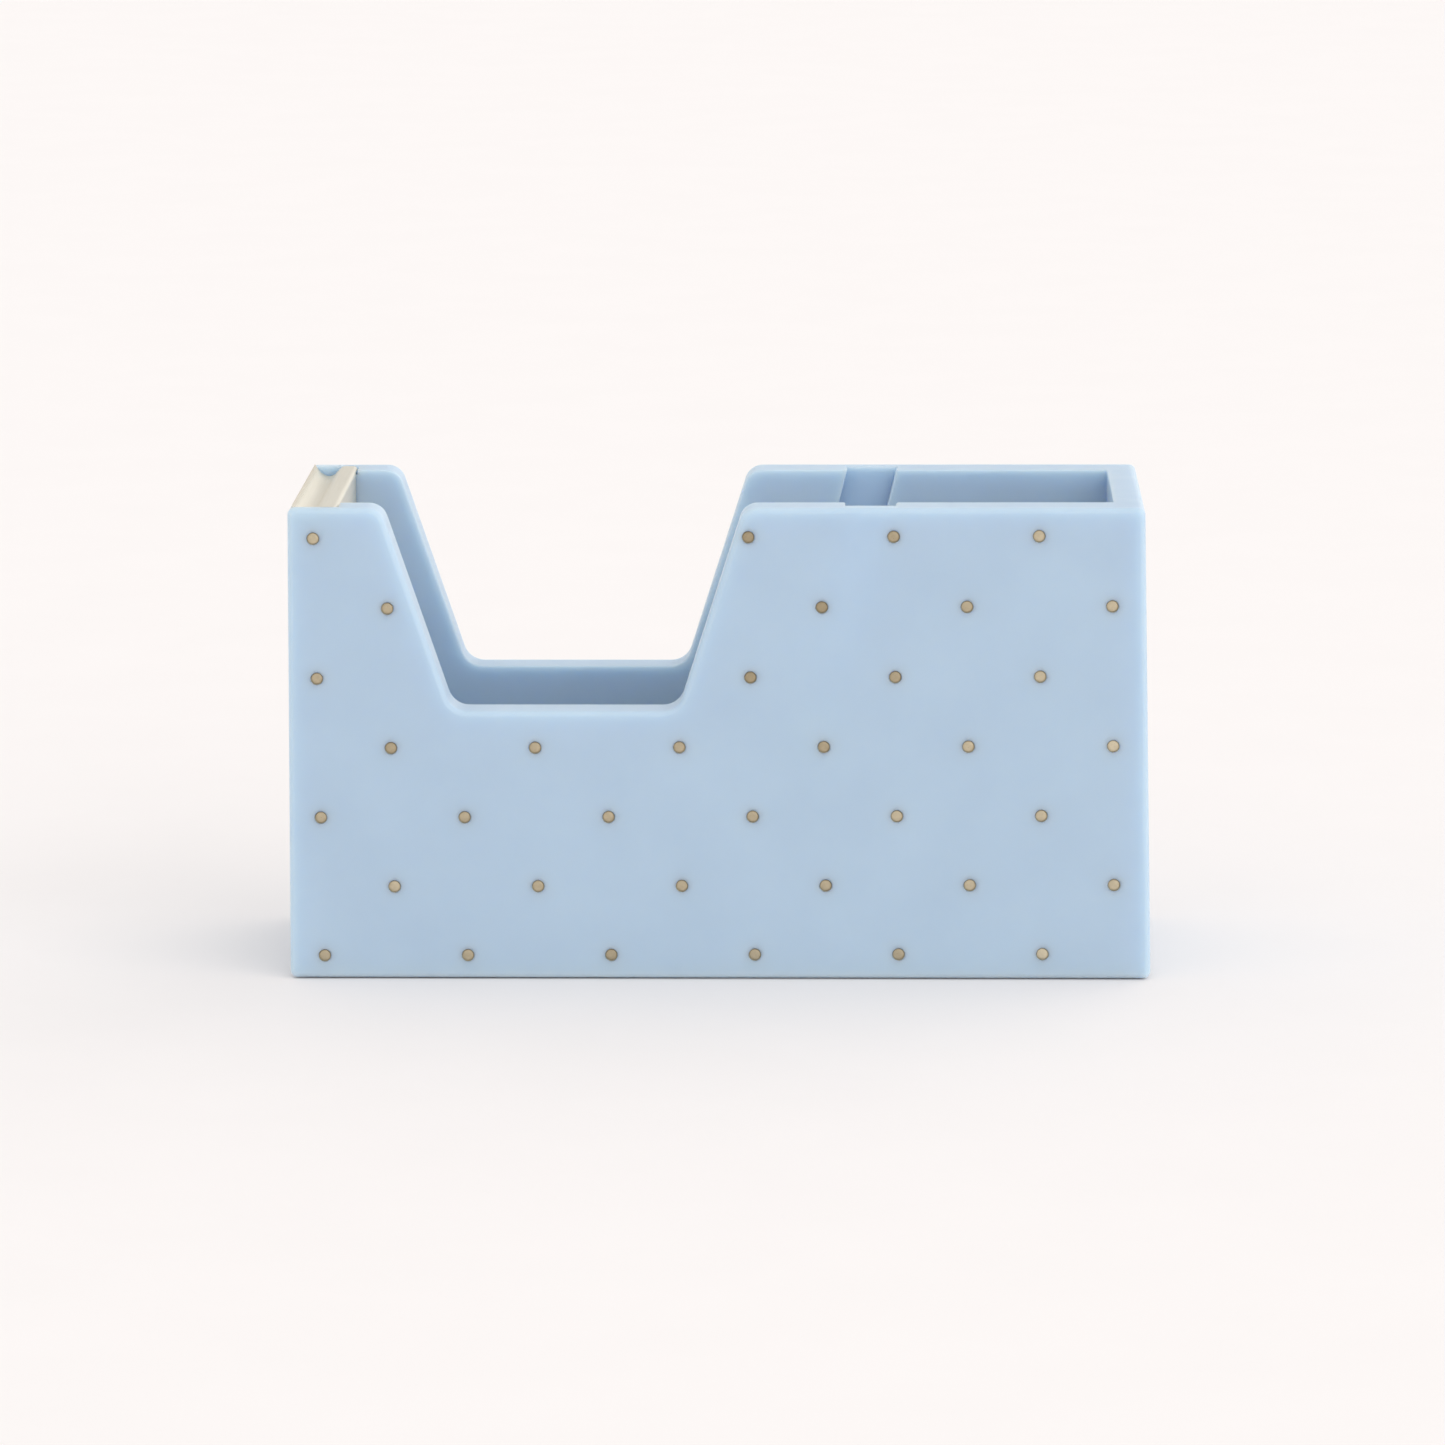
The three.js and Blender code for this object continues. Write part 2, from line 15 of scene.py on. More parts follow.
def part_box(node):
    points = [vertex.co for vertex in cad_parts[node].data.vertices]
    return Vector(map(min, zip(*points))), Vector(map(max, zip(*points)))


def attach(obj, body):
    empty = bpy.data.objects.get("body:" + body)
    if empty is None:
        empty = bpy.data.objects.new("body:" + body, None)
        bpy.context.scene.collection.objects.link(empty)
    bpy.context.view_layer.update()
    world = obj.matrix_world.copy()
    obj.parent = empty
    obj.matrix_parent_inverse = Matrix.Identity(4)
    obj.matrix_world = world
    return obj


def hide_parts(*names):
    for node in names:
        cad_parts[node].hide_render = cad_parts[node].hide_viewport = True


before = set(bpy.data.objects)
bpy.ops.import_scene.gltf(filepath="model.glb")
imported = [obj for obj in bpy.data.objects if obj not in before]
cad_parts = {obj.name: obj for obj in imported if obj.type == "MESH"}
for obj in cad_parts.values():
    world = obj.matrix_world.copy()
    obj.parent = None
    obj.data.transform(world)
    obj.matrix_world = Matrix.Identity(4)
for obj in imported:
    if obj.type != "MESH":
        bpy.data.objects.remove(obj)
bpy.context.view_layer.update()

CUT = "cut_"  # start of the names of the short-lived materials that mark which cutter made a face


def mm(*lengths):
    """Millimetres as metres: one number, or a list of them."""
    metres = [length / 1000 for length in lengths]
    return metres[0] if len(metres) == 1 else metres


# ---- Dimensions, in millimetres ----
# The boxes are read from the frame. The other sizes repeat the CAD source's, or belong to details made here.

TUB_LOW, TUB_HIGH = (corner * 1000 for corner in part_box("tub_body"))
CUTTER_LOW, CUTTER_HIGH = (corner * 1000 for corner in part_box("cutter_plate"))
PAD_LOW, PAD_HIGH = (corner * 1000 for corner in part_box("non_slip_pad"))
COVER_LOW, COVER_HIGH = (corner * 1000 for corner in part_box("base_cover"))
BALLAST_LOW, BALLAST_HIGH = (corner * 1000 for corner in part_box("ballast_plate"))
ROD_LOW, ROD_HIGH = (corner * 1000 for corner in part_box("axle_rod"))

NOSE_X, REAR_X = -74.0, 74.0
TOP_Z = TUB_HIGH.z
FOOT_Z = TUB_LOW.z
HALF_DEPTH = TUB_HIGH.y
NOSE_DRAFT, REAR_DRAFT = 0.8, 1.5  # how far each end leans in over its height
EDGE = 0.95  # rounding of the tub's outer edges
CORNER = 1.2  # rounding of the ends' corners, seen from the side
NOSE_TOP = 16.6  # from the cutter end to the notch's top corner
REAR_TOP = 69.6  # from the rear end to the notch's top corner
NOTCH_START, NOTCH_END, NOTCH_Z = 28.4, 67.1, 46.9  # the notch's floor, from the cutter end, and its height
NOTCH_TOP_FILLET, NOTCH_FOOT_FILLET = 3.2, 3.8
WALL = 7.0
REAR_WALL = 6.7
BAY_HALF = HALF_DEPTH - WALL
BAY_FLOOR_Z = 13.0
BAY_CORNER = 0.4
SLOT_LEAN = math.radians(14)
SLOT_WIDTH, SLOT_DEPTH = 8.4, 3.5
SHEET = 0.6  # thickness of the cutter plate's metal
FLANGE_X = 9.1  # cutter plate's inner face in the bay, from the cutter end
BEND = 0.8  # outer radius of the fold between shelf and flange
TOOTH_TIP, TOOTH_RISE = 1.5, 0.35  # the teeth's tips, from the cutter end and above the walls
TOOTH_PITCH, TOOTH_DEPTH, TOOTH_BLUNT = 1.5, 0.7, 0.1
BLADE_EDGE = 0.08  # chamfer along the sheet's sides
BLADE_HOLE = 1.2  # radius of the flange's screw holes
PLAY, FIT = 0.3, 0.15  # gaps beside loose pieces, and beside fitted ones
PAD_CORNER, COVER_CORNER, BALLAST_CORNER = 4.0, 3.0, 1.0
BASE_SCREW = {"head": 2.3, "head_height": 1.1, "shank": 1.1, "length": 5.5}
BLADE_SCREW = {"head": 2.0, "head_height": 1.0, "shank": 0.9, "length": 4.5}
THREAD_PITCH, THREAD_ROOT = 0.7, 0.78  # the root is a share of the shank's radius
THREAD_START, THREAD_SPARE = 0.5, 0.8  # plain length of a shank under its head, and in all
HEAD_FLAT, HEAD_DOME = 0.45, 0.6  # shares of a head's radius and height
HEAD_BREAK = 0.1
CROSS_LONG, CROSS_SHORT, CROSS_DEPTH = 0.72, 0.17, 0.55  # shares of a head's radius and height
CROSS_TAPER = 0.6  # the cross recess's foot, as a share of its mouth
ROD_RADIUS, SLEEVE_RADIUS, COLLAR_RADIUS, COLLAR_WIDTH = 2.5, 4.0, 5.6, 1.2
DIMPLE_RADIUS, DIMPLE_DEPTH = 0.5, 0.15  # the mould gate's mark in a sleeve's closed end
DRUM_RADIUS, DRUM_WALL, DRUM_HALF = 12.0, 1.8, 9.5
RIB_HEIGHT, RIB_WIDTH, RIB_COUNT = 0.5, 2.4, 6
RIB_ROOT, RIB_SHOULDER, RIB_TOE = 1.0, 0.25, 0.1  # depth in the drum, bevel, and height at the sloped end
HUB_FLANGE_RADIUS, HUB_WEB, BOSS_RADIUS = 15.0, 1.6, 4.6
SPIGOT = 4.0  # how far the spigot reaches past the hub's middle
HUB_DISH = 0.4  # depth of the ring-shaped dish in each outer face
FLANGE_LAND, BOSS_LAND, DRUM_LAND = 2.0, 0.6, 1.6  # widths of the flat rings beside the dishes
FLANGE_ROUND = 0.5  # rounding of the flange's rim
HUB_FILLET = 0.8  # inside the halves, where the webs meet the drum and the boss
RUNNING = 0.08  # gap all round the rod inside the hub
BREAK = 0.3  # chamfers and small fillets on turned and moulded pieces
DOT_RECESS_RADIUS, DOT_RECESS_DEPTH, DOT_EASE = 1.1, 0.45, 0.12  # the last is the mouth's easing
DISC_RADIUS, FOIL_RADIUS = 0.9, 1.06  # a foil dot's flat middle, and its upturned rim
FOIL_FLOOR, FOIL_RIM, FOIL_THICKNESS = 0.40, 0.07, 0.04  # the foil's depths in its recess
SHADE_RING_SHIFT = (-0.03, -0.06)  # how far the discs are moved off centre, along X and Z, so that the painted shade ring is wider at the top and right
DOT_TILT = 0.03  # how far a cup may lean, in radians
FOIL_PIVOT = 0.2  # depth of the point that a cup tilts about
DARK_PATCH, DARK_PATCH_REACH = (16.0, 66.0), 18.0  # middle, in X and Z, and size of a patch of darker foil
WASTE = 5.0  # how far a cutting solid runs past what it cuts
SHARP = 0.01  # radius of an outline's corner that is meant to be sharp

HUB = Vector(((ROD_LOW.x + ROD_HIGH.x) / 2, 0, (ROD_LOW.z + ROD_HIGH.z) / 2))
BAY_NOSE_X = NOSE_X + FLANGE_X - SHEET - PLAY
BAY_REAR_X = REAR_X - REAR_WALL


# ---- Outlines: lists of arcs, so that the same outline can be taken in by any amount ----


def fillets(corners):
    """Arcs (centre, radius, start, sweep) that round the corners (x, y, radius) of a closed polygon."""
    arcs = []
    for i, (x, y, radius) in enumerate(corners):
        here = Vector((x, y))
        back = (Vector(corners[i - 1][:2]) - here).normalized()
        on = (Vector(corners[(i + 1) % len(corners)][:2]) - here).normalized()
        half = back.angle(on) / 2
        centre = here + (back + on).normalized() * radius / math.sin(half)
        start = here + back * radius / math.tan(half) - centre
        end = here + on * radius / math.tan(half) - centre
        first = math.atan2(start.y, start.x)
        sweep = math.atan2(start.x * end.y - start.y * end.x, start.dot(end))
        arcs.append((centre, radius, first, sweep))
    return arcs


def ring(arcs, inset=0.0, steps=8):
    """Points along an anticlockwise outline's arcs, with the whole outline taken in by inset."""
    points = []
    for centre, radius, first, sweep in arcs:
        reach = radius - inset if sweep > 0 else radius + inset
        for k in range(steps + 1):
            angle = first + sweep * k / steps
            points.append((centre.x + reach * math.cos(angle), centre.y + reach * math.sin(angle)))
    return points


def rectangle(x0, x1, y0, y1, radius):
    return fillets([(x0, y0, radius), (x1, y0, radius), (x1, y1, radius), (x0, y1, radius)])


def catmull_rom(points, steps):
    """A smooth curve through the points, with steps pieces in all."""
    made = []
    last = len(points) - 1
    for k in range(steps + 1):
        place = last * k / steps
        i = min(int(place), last - 1)
        t = place - i
        p0, p1 = points[max(i - 1, 0)], points[i]
        p2, p3 = points[i + 1], points[min(i + 2, last)]
        if i == 0:
            p0 = p1 * 2 - p2
        if i + 1 == last:
            p3 = p2 * 2 - p1
        made.append(
            0.5 * ((2 * p1) + (p2 - p0) * t + (2 * p0 - 5 * p1 + 4 * p2 - p3) * t * t
                   + (3 * p1 - p0 - 3 * p2 + p3) * t * t * t)
        )
    return made


# ---- Meshes ----


def mesh_object(name, bm):
    """A new object from a bmesh made in millimetres, with its faces pointing out."""
    bmesh.ops.recalc_face_normals(bm, faces=bm.faces)
    bm.transform(Matrix.Scale(0.001, 4))
    mesh = bpy.data.meshes.new(name)
    bm.to_mesh(mesh)
    bm.free()
    obj = bpy.data.objects.new(name, mesh)
    bpy.context.scene.collection.objects.link(obj)
    return obj


def loft(bm, rings):
    """A closed solid through rings of matching points, with a flat face at each end."""
    loops = [[bm.verts.new(p) for p in points] for points in rings]
    for lower, upper in zip(loops, loops[1:]):
        for i in range(len(lower)):
            j = (i + 1) % len(lower)
            bm.faces.new((lower[i], lower[j], upper[j], upper[i]))
    bm.faces.new(loops[0])
    bm.faces.new(loops[-1])
    return bm


def across(points, y):
    """An X, Z outline as a ring at y."""
    return [(x, y, z) for x, z in points]


def level(points, z):
    """An X, Y outline as a ring at z."""
    return [(x, y, z) for x, y in points]


def quarter(radius, steps):
    """Pairs (inset, setback) along a quarter-round edge, from the flat face's edge to the side."""
    turns = [math.pi / 2 * k / steps for k in range(steps + 1)]
    return [(radius * (1 - math.sin(a)), radius * (1 - math.cos(a))) for a in turns]


def slab(name, arcs, z0, z1, edge=0.0, steps=8):
    """An upright slab with an X, Y outline and rounded top and bottom edges."""
    bends = quarter(edge, 3) if edge else [(0.0, 0.0)]
    rings = [level(ring(arcs, inset, steps), z0 + back) for inset, back in bends]
    rings += [level(ring(arcs, inset, steps), z1 - back) for inset, back in reversed(bends)]
    return mesh_object(name, loft(bmesh.new(), rings))


def spin(name, profile, centre, axis="Y", steps=96):
    """A solid of revolution from a closed profile of (radius, place along the axis)."""
    bm = bmesh.new()
    x, y, z = centre
    place = {
        "X": lambda h, u, v: (x + h, y + u, z + v),
        "Y": lambda h, u, v: (x + u, y + h, z + v),
        "Z": lambda h, u, v: (x + u, y + v, z + h),
    }[axis]
    meridians = []
    for k in range(steps):
        angle = 2 * math.pi * k / steps
        c, s = math.cos(angle), math.sin(angle)
        meridians.append([bm.verts.new(place(h, r * c, r * s)) for r, h in profile])
    for k in range(steps):
        here, there = meridians[k], meridians[(k + 1) % steps]
        for i in range(len(profile)):
            j = (i + 1) % len(profile)
            if profile[i][0] or profile[j][0]:
                bm.faces.new((here[i], here[j], there[j], there[i]))
    bmesh.ops.remove_doubles(bm, verts=bm.verts, dist=1e-5)
    return mesh_object(name, bm)


def mark(obj, name):
    """Gives a cutting solid a material of its own, which its cut faces keep."""
    made = bpy.data.materials.get(CUT + name) or bpy.data.materials.new(CUT + name)
    obj.data.materials.clear()
    obj.data.materials.append(made)
    return obj


def apply_modifiers(obj):
    """Makes what the modifiers show the object's own mesh."""
    graph = bpy.context.evaluated_depsgraph_get()
    graph.update()
    made = bpy.data.meshes.new_from_object(obj.evaluated_get(graph), depsgraph=graph)
    old = obj.data
    obj.modifiers.clear()
    obj.data = made
    bpy.data.meshes.remove(old)
    made.name = obj.name
    return obj


def combine(obj, tool, operation):
    """Cuts tool from obj, or joins it on, and throws the tool away."""
    step = obj.modifiers.new(operation, "BOOLEAN")
    step.operation = operation
    step.solver = "EXACT"
    step.material_mode = "TRANSFER"
    step.object = tool
    apply_modifiers(obj)
    bpy.data.objects.remove(tool)
    return obj


def cut(obj, *tools):
    for tool in tools:
        combine(obj, tool, "DIFFERENCE")
    return obj


def join(obj, *tools):
    for tool in tools:
        combine(obj, tool, "UNION")
    return obj


def round_edges(obj, widths, sharp=30, steps=3):
    """Rounds sharp edges between different cutters' faces. widths maps the cutters' names to millimetres."""
    bm = bmesh.new()
    bm.from_mesh(obj.data)
    names = [m.name.removeprefix(CUT) if m else "" for m in obj.data.materials]
    layer = bm.edges.layers.float.new("bevel_weight_edge")
    widest = max(widths.values())
    for edge in bm.edges:
        if len(edge.link_faces) != 2 or edge.calc_face_angle(0) < math.radians(sharp):
            continue
        owners = {names[f.material_index] for f in edge.link_faces}
        found = [widths[o] for o in owners if o in widths]
        if found and len(owners) > 1:
            edge[layer] = min(found) / widest
    bm.to_mesh(obj.data)
    bm.free()
    step = obj.modifiers.new("round", "BEVEL")
    step.limit_method = "WEIGHT"
    step.width = mm(widest)
    step.segments = steps
    step.use_clamp_overlap = False
    return apply_modifiers(obj)


def smooth(obj, angle=38):
    """Smooth shading that keeps sharp edges and lets large flat faces set the normals."""
    obj.data.polygons.foreach_set("use_smooth", [True] * len(obj.data.polygons))
    obj.data.set_sharp_from_angle(angle=math.radians(angle))
    step = obj.modifiers.new("normals", "WEIGHTED_NORMAL")
    step.keep_sharp = True
    step.weight = 100
    return obj


def piece(obj, body, slot, look, *nodes):
    """Finishes a piece: its looks, the body it rides on and the CAD nodes that it stands for."""
    obj.data.materials.clear()
    obj.data.materials.append(look)
    for face in obj.data.polygons:
        face.material_index = 0
    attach(obj, body)
    if nodes:
        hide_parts(*nodes)
    return obj


# ---- Materials ----


def srgb(red, green, blue):
    """A colour given in 0 to 255 screen values, as linear light with alpha 1."""
    def linear(value):
        share = value / 255
        return share / 12.92 if share <= 0.04045 else ((share + 0.055) / 1.055) ** 2.4
    return (linear(red), linear(green), linear(blue), 1.0)


class Look:
    """A node material built round one Principled shader, in object coordinates."""

    def __init__(self, name, **sockets):
        self.material = bpy.data.materials.new(name)
        self.material.use_nodes = True
        self.tree = self.material.node_tree
        self.shader = self.tree.nodes["Principled BSDF"]
        self.place = self.node("ShaderNodeTexCoord").outputs["Object"]
        for socket, value in sockets.items():
            self.shader.inputs[socket.replace("_", " ")].default_value = value

    def node(self, kind):
        return self.tree.nodes.new(kind)

    def link(self, source, target):
        self.tree.links.new(source, target)

    def stretched(self, stretch):
        """Object coordinates scaled along each axis, for grain that runs one way."""
        mapping = self.node("ShaderNodeMapping")
        mapping.inputs["Scale"].default_value = stretch
        self.link(self.place, mapping.inputs["Vector"])
        return mapping.outputs["Vector"]

    def noise(self, scale, detail, stretch=None):
        """Noise with the given number of lumps in a metre."""
        made = self.node("ShaderNodeTexNoise")
        made.inputs["Scale"].default_value = scale
        made.inputs["Detail"].default_value = detail
        made.inputs["Roughness"].default_value = 0.55
        self.link(self.stretched(stretch) if stretch else self.place, made.inputs["Vector"])
        return made.outputs["Fac"]

    def cells(self, scale):
        """Distance to the nearest of a scatter of points, for foam's bubbles."""
        made = self.node("ShaderNodeTexVoronoi")
        made.inputs["Scale"].default_value = scale
        self.link(self.place, made.inputs["Vector"])
        return made.outputs["Distance"]

    def ramp(self, source, stops):
        """source through a colour ramp of (place, colour) stops."""
        made = self.node("ShaderNodeValToRGB")
        elements = made.color_ramp.elements
        elements[0].position, elements[0].color = stops[0]
        elements[1].position, elements[1].color = stops[-1]
        for place, colour in stops[1:-1]:
            elements.new(place).color = colour
        self.link(source, made.inputs["Fac"])
        return made.outputs["Color"]

    def spread(self, source, low, high):
        """Noise, taken from its usual range of 0.3 to 0.7 to the range from low to high."""
        made = self.node("ShaderNodeMapRange")
        ranges = {"From Min": 0.3, "From Max": 0.7, "To Min": low, "To Max": high}
        for socket, value in ranges.items():
            made.inputs[socket].default_value = value
        self.link(source, made.inputs["Value"])
        return made.outputs["Result"]

    def colour(self, source):
        self.link(source, self.shader.inputs["Base Color"])

    def rough(self, source):
        self.link(source, self.shader.inputs["Roughness"])

    def bump(self, source, height, below=None):
        """Relief of the given height in millimetres. below is another bump that it lies on."""
        made = self.node("ShaderNodeBump")
        made.inputs["Strength"].default_value = 1.0
        made.inputs["Distance"].default_value = mm(height)
        self.link(source, made.inputs["Height"])
        if below is not None:
            self.link(below, made.inputs["Normal"])
        self.link(made.outputs["Normal"], self.shader.inputs["Normal"])
        return made.outputs["Normal"]


def resin():
    """Satin cast resin: faint clouding, a fine tooth from the mould and a little light inside its edges."""
    look = Look("pale_blue_resin", IOR=1.5, Subsurface_Weight=1.0, Subsurface_Scale=0.005,
                Subsurface_Radius=(0.8, 0.9, 1.0), Specular_IOR_Level=0.35)
    look.colour(look.ramp(look.noise(55, 3), [
        (0.30, srgb(181, 201, 219)),
        (0.70, srgb(185, 205, 222)),
    ]))
    look.rough(look.spread(look.noise(140, 5), 0.34, 0.44))
    tooth = look.bump(look.noise(5200, 2), 0.004)
    look.bump(look.noise(260, 2), 0.012, tooth)
    return look.material


def champagne_metal():
    """Champagne-toned sheet metal, brushed along its width."""
    look = Look("champagne_metal", Metallic=0.9)
    look.colour(look.ramp(look.noise(420, 4, stretch=(1, 0.06, 1)), [
        (0.30, srgb(217, 211, 196)),
        (0.70, srgb(226, 220, 206)),
    ]))
    look.rough(look.spread(look.noise(3800, 3, stretch=(1, 0.02, 1)), 0.42, 0.52))
    look.bump(look.noise(6500, 2, stretch=(1, 0.015, 1)), 0.0012)
    return look.material


def gold_foil(shade):
    """Pressed gold foil with fine wrinkles. shade is from 0, darkest, to 1."""
    dark = [172, 157, 129]
    light = [214, 202, 175]
    tone = [d + (l - d) * shade for d, l in zip(dark, light)]
    look = Look(f"gold_foil_{round(shade * 10)}", Metallic=1.0)
    look.colour(look.ramp(look.noise(1400, 3), [
        (0.30, srgb(*[0.93 * t for t in tone])),
        (0.70, srgb(*tone)),
    ]))
    look.rough(look.spread(look.noise(2600, 3), 0.26, 0.46))
    look.bump(look.noise(2400, 3), 0.012)
    return look.material


def foil_edge():
    """The foil where it turns up along the recess, darkened to paint the shade that falls inside the recess.
    """
    look = Look("foil_edge", Metallic=0.4)
    look.colour(look.ramp(look.noise(1800, 3), [
        (0.30, srgb(148, 147, 136)),
        (0.70, srgb(172, 168, 152)),
    ]))
    look.rough(look.spread(look.noise(2600, 3), 0.4, 0.6))
    look.bump(look.noise(3000, 3), 0.008)
    return look.material


def steel(name, low, high, grain):
    """Plated or ground steel. grain stretches the marks that turning or grinding left."""
    look = Look(name, Metallic=1.0)
    look.colour(look.ramp(look.noise(300, 4), [(0.3, low), (0.7, high)]))
    look.rough(look.spread(look.noise(4200, 3, stretch=grain), 0.22, 0.38))
    look.bump(look.noise(6000, 2, stretch=grain), 0.003)
    return look.material


def black_iron():
    """Sawn iron plate with a dull oxide skin."""
    look = Look("blackened_iron", Metallic=0.85)
    look.colour(look.ramp(look.noise(180, 6), [
        (0.30, srgb(58, 60, 63)),
        (0.60, srgb(84, 86, 88)),
        (0.75, srgb(98, 88, 80)),
    ]))
    look.rough(look.spread(look.noise(420, 5), 0.5, 0.78))
    look.bump(look.noise(1500, 5), 0.03)
    return look.material


def moulded_plastic(name, low, high, roughness, scatter=0.0):
    """Moulded plastic with a fine spark-eroded tooth."""
    look = Look(name, IOR=1.47, Subsurface_Weight=scatter, Subsurface_Scale=0.002)
    look.colour(look.ramp(look.noise(90, 3), [(0.3, low), (0.7, high)]))
    look.rough(look.spread(look.noise(350, 4), roughness - 0.05, roughness + 0.06))
    look.bump(look.noise(4800, 2), 0.006)
    return look.material


def foam():
    """Fine-cell non-slip foam."""
    look = Look("pad_foam", IOR=1.4)
    look.colour(look.ramp(look.noise(700, 5), [
        (0.30, srgb(186, 190, 194)),
        (0.70, srgb(206, 209, 212)),
    ]))
    look.rough(look.spread(look.noise(900, 4), 0.82, 0.95))
    look.bump(look.cells(2600), 0.05)
    return look.material


# ---- Tub ----


def wall_outline():
    """The long walls' outline in X and Z, with the notch."""
    return fillets([
        (NOSE_X, FOOT_Z, CORNER),
        (REAR_X, FOOT_Z, CORNER),
        (REAR_X - REAR_DRAFT, TOP_Z, CORNER),
        (REAR_X - REAR_TOP, TOP_Z, NOTCH_TOP_FILLET),
        (NOSE_X + NOTCH_END, NOTCH_Z, NOTCH_FOOT_FILLET),
        (NOSE_X + NOTCH_START, NOTCH_Z, NOTCH_FOOT_FILLET),
        (NOSE_X + NOSE_TOP, TOP_Z, NOTCH_TOP_FILLET),
        (NOSE_X + NOSE_DRAFT, TOP_Z, CORNER),
    ])


def tub_block():
    """The tub's outside with its notch, before anything is cut out of it."""
    outline = wall_outline()
    bends = quarter(EDGE, 6)
    rings = [across(ring(outline, inset, 14), -HALF_DEPTH + back) for inset, back in bends]
    rings += [across(ring(outline, inset, 14), HALF_DEPTH - back) for inset, back in reversed(bends)]
    return mark(mesh_object("tub", loft(bmesh.new(), rings)), "outside")


def bay_cutter():
    """The tape bay, with a fillet round its floor that stops short of closing the corners to points."""
    arcs = rectangle(BAY_NOSE_X, BAY_REAR_X, -BAY_HALF, BAY_HALF, BAY_CORNER)
    rings = [
        level(ring(arcs, 0.95 * inset, 4), BAY_FLOOR_Z + back)
        for inset, back in quarter(BAY_CORNER, 4)
    ]
    rings.append(level(ring(arcs, 0, 4), TOP_Z + WASTE))
    return mark(mesh_object("bay", loft(bmesh.new(), rings)), "bay")


def slot_cutter(side):
    """The sloping slot for the hub's rod in one wall. side is -1 at the front and 1 at the back."""
    up = Vector((math.sin(SLOT_LEAN), math.cos(SLOT_LEAN)))
    right = Vector((up.y, -up.x))
    foot = Vector((HUB.x, HUB.z))
    radius = SLOT_WIDTH / 2
    turns = [-math.pi * k / 24 for k in range(25)]
    points = [foot + right * radius * math.cos(a) + up * radius * math.sin(a) for a in turns]
    reach = up * (TOP_Z + 2 * WASTE - HUB.z)
    points += [foot - right * radius + reach, foot + right * radius + reach]
    span = sorted((side * (BAY_HALF - WASTE), side * (BAY_HALF + SLOT_DEPTH)))
    return mark(mesh_object("slot", loft(bmesh.new(), [across(points, y) for y in span])), "slot")


def cutter_line(steps=28, fold_steps=8):
    """Upper face of the bent sheet in X and Z: teeth, trough for the fingertip, shelf, fold and flange."""
    z = TOP_Z
    section = [
        (TOOTH_TIP, TOOTH_RISE), (2.2, -0.68), (3.05, -1.42), (4.0, -1.72), (4.95, -1.42),
        (5.65, -0.7), (6.35, -0.12), (7.0, 0.0), (7.6, 0.0),
    ]
    trough = catmull_rom([Vector((NOSE_X + x, z + rise)) for x, rise in section], steps)
    centre = Vector((NOSE_X + FLANGE_X - BEND, z - BEND))
    turns = [math.pi / 2 * (1 - k / fold_steps) for k in range(fold_steps + 1)]
    fold = [centre + BEND * Vector((math.cos(a), math.sin(a))) for a in turns]
    return [*trough, *fold, Vector((NOSE_X + FLANGE_X, CUTTER_LOW.z))]


def sheet_normals(line):
    normals = []
    for i in range(len(line)):
        along = (line[min(i + 1, len(line) - 1)] - line[max(i - 1, 0)]).normalized()
        normals.append(Vector((-along.y, along.x)))
    return normals


def pocket_cutter():
    """The seat that the cutter plate lies in, with a small gap under the plate."""
    line = cutter_line()
    under = [p - n * (SHEET + PLAY) for p, n in zip(line, sheet_normals(line))]
    seat = [p for p in under if p.x < BAY_NOSE_X - 1e-3 and p.y > CUTTER_LOW.z]
    floor = seat[-1].y
    far = NOSE_X + FLANGE_X + PLAY
    points = [
        (NOSE_X - WASTE, TOP_Z + WASTE), (NOSE_X - WASTE, seat[0].y), *[(p.x, p.y) for p in seat],
        (BAY_NOSE_X, floor), (far, floor), (far, TOP_Z + WASTE),
    ]
    half = CUTTER_HIGH.y + PLAY
    rings = [across(points, -half), across(points, half)]
    return mark(mesh_object("pocket", loft(bmesh.new(), rings)), "pocket")


def base_cutters():
    """Recesses in the underside for the pad, the cover and the ballast."""
    pad = rectangle(PAD_LOW.x - FIT, PAD_HIGH.x + FIT, PAD_LOW.y - FIT, PAD_HIGH.y + FIT, PAD_CORNER)
    cover = rectangle(COVER_LOW.x - FIT, COVER_HIGH.x + FIT,
                      COVER_LOW.y - FIT, COVER_HIGH.y + FIT, COVER_CORNER)
    ballast = rectangle(BALLAST_LOW.x - FIT, BALLAST_HIGH.x + FIT,
                        BALLAST_LOW.y - FIT, BALLAST_HIGH.y + FIT, BALLAST_CORNER)
    return [
        mark(slab("pad_recess", pad, -WASTE, PAD_HIGH.z + FIT / 2), "base"),
        mark(slab("cover_recess", cover, -WASTE, COVER_HIGH.z + FIT), "base"),
        mark(slab("ballast_recess", ballast, -WASTE, BALLAST_HIGH.z + FIT), "base"),
    ]


def dot_places():
    """(x, z) of each foil dot, from the CAD's dots in the front wall."""
    places = []
    for i in range(1, 1 + sum(n.startswith("foil_dot_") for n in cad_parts)):
        low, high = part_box(f"foil_dot_{i}")
        places.append(((low.x + high.x) * 500, (low.z + high.z) * 500))
    return places


def dot_cutter():
    """All the dots' recesses in both long walls, each with a slightly eased mouth."""
    bm = bmesh.new()
    mouth = DOT_RECESS_RADIUS + DOT_EASE
    profile = [
        (DOT_RECESS_RADIUS, DOT_RECESS_DEPTH), (DOT_RECESS_RADIUS, DOT_EASE),
        (DOT_RECESS_RADIUS + 0.3 * DOT_EASE, 0.3 * DOT_EASE), (mouth, 0.0), (mouth, -WASTE),
    ]
    turns = [2 * math.pi * k / 32 for k in range(32)]
    for side in (-1, 1):
        for x, z in dot_places():
            rings = []
            for r, depth in profile:
                circle = [(x + r * math.cos(a), z + r * math.sin(a)) for a in turns]
                rings.append(across(circle, side * (HALF_DEPTH - depth)))
            loft(bm, rings)
    return mark(mesh_object("dots", bm), "dot")


